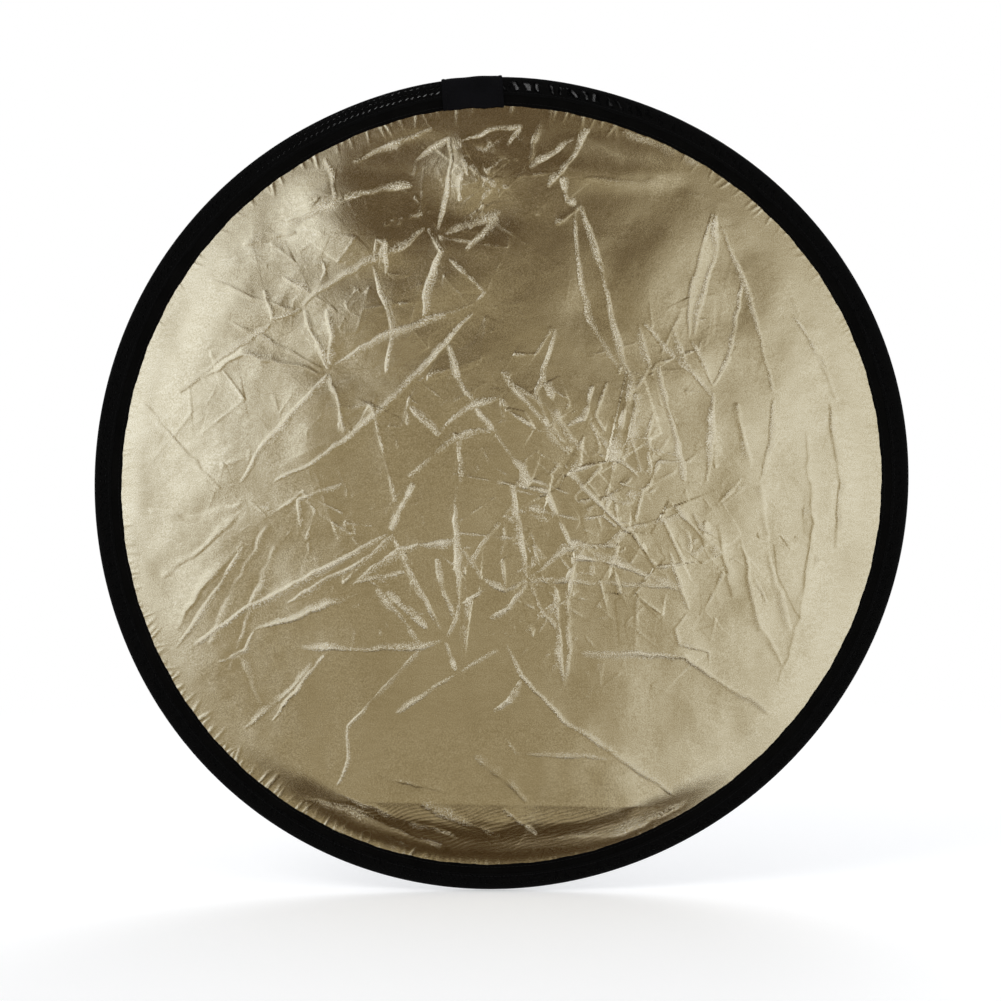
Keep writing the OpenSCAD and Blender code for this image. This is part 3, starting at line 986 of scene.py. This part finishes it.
def net_material(name):
    """Sheer black net: small round holes in a plain knit, pulled thin in places near the tab."""
    mat, n, where = new_material(name)
    u, v, _ = n.split(n.add("ShaderNodeUVMap", uv_map="cloth").outputs[0])
    x, y, z = n.split(where)
    angle = n.math("ARCTAN2", z, x)

    def rise_between(lo, hi, a=0.0, b=1.0):
        return n.remap(angle, math.radians(lo), math.radians(hi), a, b)

    # the two faces of the sleeve lie askew, so that their holes line up only in places
    back = n.remap(y, -0.0004, 0.0004)
    at_right = rise_between(90, 96, 1.0, 0.0)
    askew = n.mul(back, n.mad(at_right, 0.03, 0.03))
    grow = n.mad(back, n.mad(at_right, -0.05, 0.11), 1.0)
    run, rise = n.mul(u, 100.0), n.mul(v, 140.0)
    along = n.mul(grow, n.mad(askew, rise, run))
    across = n.mul(grow, n.minus(rise, n.mul(askew, run)))
    full = 2 * math.pi
    k = full / NET_PITCH
    a, b = n.sine(n.mul(n.plus(along, across), k)), n.sine(n.mul(n.minus(along, across), k))
    holes = n.mad(n.mul(a, b), 0.5, 0.5)
    # slanting rows of thin places on the left of the tab, wider and softer ones on its right;
    # front and back line up as seen from in front
    flat = n.add("ShaderNodeVectorMath", operation="LENGTH")
    n.wire(n.stretch(where, 1.0, 0.0, 1.0), flat.inputs[0])
    depth = n.mad(flat.outputs["Value"], n.mad(y, -1000.0 / CAMERA_M, 1000.0), -LIP_R)
    reach = n.mul(angle, HOOP_R)
    drift = n.minus(n.noise(where, 95.0, 1.0), 0.5)
    slant = n.mad(reach, full / 4.8, n.mul(depth, full / 2.9))
    row = n.mad(depth, full / 3.3, n.mul(drift, 4.0))
    dash = n.mul(n.remap(n.sine(slant), 0.1, 0.9), n.remap(n.sine(row), -0.3, 0.6))
    dash = n.mul(dash, n.mul(n.remap(depth, 1.0, 2.0), n.remap(depth, 10.0, 11.5, 1.0, 0.0)))
    lumps = n.mad(drift, 14.0, n.mad(reach, full / 8.6, n.mul(depth, -full / 14)))
    blob = n.mul(n.remap(depth, 1.5, 3.5), n.remap(depth, 7.5, 10.5, 1.0, 0.0))
    blob = n.mul(n.remap(n.sine(lumps), -0.4, 1.0, 0.0, 0.9), blob)
    left = n.mul(rise_between(95, 99), rise_between(103, 135, 1.0, 0.3))
    right = n.mul(rise_between(64, 80, 0.1, 1.0), rise_between(88, 91, 1.0, 0.0))
    opened = n.most(n.mul(left, dash), n.mul(right, blob))
    # white shows through the thin places' yarn as well as their holes
    yarn = n.math("LESS_THAN", holes, n.mad(opened, -0.1, 0.985))
    fuzz = n.ramp(n.noise(where, 1200.0, 2.0, 0.6), [(0.25, (0.001, 0.001, 0.001)),
                                                     (0.8, (0.0046, 0.0045, 0.0045))])
    n.surface({"Base Color": fuzz, "Roughness": 0.55, "Specular IOR Level": 0.035,
               "Sheen Weight": 0.008, "Sheen Tint": (0.85, 0.9, 1.0, 1.0),
               "Normal": n.bump(holes, 0.8, -0.0002),
               "Alpha": n.mul(yarn, n.mad(opened, -0.56, 1.0))})
    return mat


def thread_material(name):
    mat, n, where = new_material(name)
    twist = n.noise(n.stretch(where, turn=0.7), 2600.0, 1.0)
    colour = n.ramp(twist, [(0.3, (0.0015, 0.0015, 0.0018)), (0.75, (0.007, 0.007, 0.0075))])
    n.surface({"Base Color": colour, "Roughness": 0.6, "Specular IOR Level": 0.1,
               "Sheen Weight": 0.02, "Normal": n.bump(twist, 0.6, 0.0001)})
    return mat


def steel_material(name, colour, rough):
    mat, n, where = new_material(name)
    brush = n.noise(n.stretch(where, 1.0, 30.0, 1.0), 60.0, 4.0, 0.7)
    stain = n.noise(where, 90.0, 3.0, 0.6)
    n.surface({"Base Color": n.mix(n.mul(stain, 0.6), colour, tuple(0.6 * c for c in colour)),
               "Metallic": 1.0, "Roughness": n.mad(brush, 0.25, rough - 0.1),
               "Normal": n.bump(brush, 0.3, 0.0001)})
    return mat


# ---- floor, light and camera
def build_floor():
    bpy.ops.mesh.primitive_plane_add(size=1, location=(0, 0, START_LO[2] - 0.0012))
    floor = bpy.context.active_object
    floor.name = "floor"
    floor.scale = (9.0, 9.0, 1.0)
    mat, n, _ = new_material("floor_paper")
    paper = n.add("ShaderNodeBsdfDiffuse")
    paper.inputs["Color"].default_value = (0.93, 0.93, 0.93, 1)
    glow = n.add("ShaderNodeEmission")
    glow.inputs["Strength"].default_value = 0.25
    both = n.add("ShaderNodeAddShader")
    n.wire(paper.outputs[0], both.inputs[0])
    n.wire(glow.outputs[0], both.inputs[1])
    # far from the disc the floor runs out into plain white
    reach = n.add("ShaderNodeVectorMath", operation="LENGTH")
    n.wire(n.add("ShaderNodeNewGeometry").outputs["Position"], reach.inputs[0])
    fade = n.add("ShaderNodeMixShader")
    n.wire(n.remap(reach.outputs["Value"], 0.55, 1.5), fade.inputs[0])
    n.wire(both.outputs[0], fade.inputs[1])
    n.wire(n.add("ShaderNodeEmission").outputs[0], fade.inputs[2])
    n.output(fade.outputs[0])
    floor.data.materials.append(mat)
    floor.visible_glossy = False


def build_world():
    """White to the camera, even grey to matt cloth, and a studio of panels to the foil."""
    world = bpy.data.worlds.new("studio")
    bpy.context.scene.world = world
    world.use_nodes = True
    n = Nodes(world.node_tree)
    x, y, z = n.split(n.add("ShaderNodeTexCoord").outputs["Generated"])
    # what the foil reflects: a bright left, a paler right, dark above and below, light all round
    lean = n.plus(n.mul(x, -0.95), n.mul(n.least(z, 0.08), 0.40))
    left = n.remap(lean, 0.12, 0.20)
    right = n.mul(n.remap(x, 0.03, 0.22, 0.0, 0.50), n.remap(z, 0.10, 0.24, 1.0, 0.45))
    above = n.remap(z, 0.03, 0.24, 0.31, 0.085)
    below = n.remap(z, -0.268, -0.215, 0.05, 1.0)
    core = n.most(n.mul(n.plus(right, above), below), n.mul(left, below))
    flat_z = n.plus(n.most(z, 0.0), n.mul(n.least(z, 0.0), 0.7))
    away = n.math("SQRT", n.plus(n.mul(x, x), n.mul(flat_z, flat_z)))
    out = n.remap(away, 0.28, 0.42)
    # the rest of the studio: broad panels with darker gaps between them
    stripes = n.mad(x, 9.5, n.mad(y, 1.25, 0.65))
    tiers = n.mad(z, 8.0, n.mad(y, -0.45, -0.1))
    panels = n.remap(n.plus(n.sine(stripes), n.sine(tiers)), -1.2, 1.2, 0.16, 0.84)
    level = n.plus(n.mul(core, n.minus(1.0, out)), n.mul(out, panels))
    front = n.ramp(level, [(0.0, (0.050, 0.030, 0.013)), (0.12, (0.115, 0.080, 0.042)),
                           (0.33, (0.39, 0.34, 0.235)), (0.62, (0.67, 0.65, 0.575)),
                           (1.0, (1.12, 1.18, 1.27))])
    back = n.ramp(level, [(0.0, (0.03, 0.03, 0.034)), (0.34, (0.36, 0.37, 0.39)),
                          (0.65, (0.8, 0.81, 0.83)), (1.0, (1.3, 1.3, 1.3))])
    glossy = n.mix(n.remap(y, -0.25, 0.25), front, back)
    ray = n.add("ShaderNodeLightPath").outputs
    seen = n.mix(ray["Is Glossy Ray"], (0.62, 0.63, 0.65), glossy)
    seen = n.mix(ray["Is Camera Ray"], seen, (1.0, 1.0, 1.0))
    sky = n.add("ShaderNodeBackground")
    n.wire(seen, sky.inputs["Color"])
    n.output(sky.outputs[0], "ShaderNodeOutputWorld")


def add_lamp(name, at, size, power, colour):
    data = bpy.data.lights.new(name, "AREA")
    data.shape = "DISK"
    data.size = size
    data.energy = power
    data.color = colour
    obj = new_object(name, data)
    obj.location = at
    obj.rotation_euler = (-Vector(at)).to_track_quat("-Z", "Y").to_euler()
    obj.visible_camera = False
    obj.visible_glossy = False


def add_camera():
    cam = bpy.data.cameras.new("photo_view")
    cam.sensor_width = 36.0
    cam.lens = 73.0
    cam.clip_end = 50
    obj = new_object("photo_view", cam)
    obj.location = (0.0004, -CAMERA_M, -0.0129)
    obj.rotation_euler = (math.radians(90), 0, 0)
    bpy.context.scene.camera = obj
    bpy.context.scene.view_settings.view_transform = "Standard"


# ---- build everything
# the fourth colour of each foil is the paler crease colour, partly wear and partly a painted
# highlight
gold = foil_material("gold_foil_cloth", [(0.50, 0.42, 0.27), (0.74, 0.66, 0.48),
                                         (0.92, 0.86, 0.70), (0.97, 0.94, 0.82)], rough=0.12)
silver = foil_material("silver_foil_cloth", [(0.50, 0.51, 0.53), (0.74, 0.75, 0.77),
                                             (0.90, 0.91, 0.92), (0.96, 0.96, 0.97)], rough=0.18)
tape_cloth = cloth_material("black_tape_cloth", (0.001, 0.001, 0.001), (0.0056, 0.0053, 0.0048),
                            pitch=0.55, rough=0.9, sheen=0.008, tint=(0.9, 0.9, 0.88), spec=0.018)
tab_mat = cloth_material("tab_cloth_woven", (0.001, 0.001, 0.0013), (0.0064, 0.0063, 0.0078),
                         pitch=0.75, rough=0.7, sheen=0.02, tint=(0.78, 0.84, 1.0), spec=0.055)
net = net_material("black_net")
thread = thread_material("black_thread")
steel = steel_material("spring_steel_strip", (0.42, 0.42, 0.43), rough=0.38)
clip = steel_material("clip_steel_plate", (0.62, 0.62, 0.63), rough=0.32)

gold_heights = foil_relief(11, CREASES, SOFT_FOLDS, CRUMPLES, FACETS, dome=3.4)
build_foil("gold", gold, *gold_heights, side=-1, columns=64, ring=1.1)
# the silver face shows half of the same folds, a little astray, and small crumples of its own
stray = random.Random(5)
pressed = [[(x - stray.uniform(-6, 6), z + stray.uniform(-6, 6)) for x, z in run]
           for run in CREASES[::2]]
silver_heights = foil_relief(57, pressed, SOFT_FOLDS[::-2], CRUMPLES[::2], FACETS[4:], dome=3)
build_foil("silver", silver, *silver_heights, side=1, columns=48, ring=1.6)

build_rim("edge_tape", tape_cloth, "edging_tape", "black_tape", tape_section, spacing=0.8)
build_rim("net_sleeve", net, "mesh_sleeve", "black_mesh", sleeve_section, spacing=1.2)
build_hoop(steel)
sew = random.Random(3)
for stem, node, r0, y0 in (("seam_in", "seam_inner", RIM_R + 2.2, 1.02),
                           ("seam_out", "seam_outer", LIP_R + 2, 1.50)):
    for face, side in (("front", -1), ("back", 1)):
        build_seam(f"{stem}_{face}", thread, f"{node}_{face}", r0, y0, side, sew)
build_tab(tab_mat, thread, sew)

plate = new_object("clip_plate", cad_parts["hoop_clip"].data.copy())
plate.data.materials.clear()
plate.data.materials.append(clip)
bevel = plate.modifiers.new("rounded", "BEVEL")
bevel.width, bevel.segments = 0.0001, 2
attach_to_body(plate, "arc_01")
stand_for(plate, "clip_steel", "hoop_clip")
draw_in(plate)

build_floor()
build_world()
add_lamp("key_soft", (-1.9, -2.3, 1.9), 1.8, 26, (1.0, 0.99, 0.97))
add_lamp("fill_soft", (2.3, -2.2, 0.9), 2.0, 14, (0.97, 0.98, 1.0))
add_lamp("back_soft", (0.6, 2.6, 1.8), 2.0, 26, (1.0, 1.0, 1.0))
add_camera()
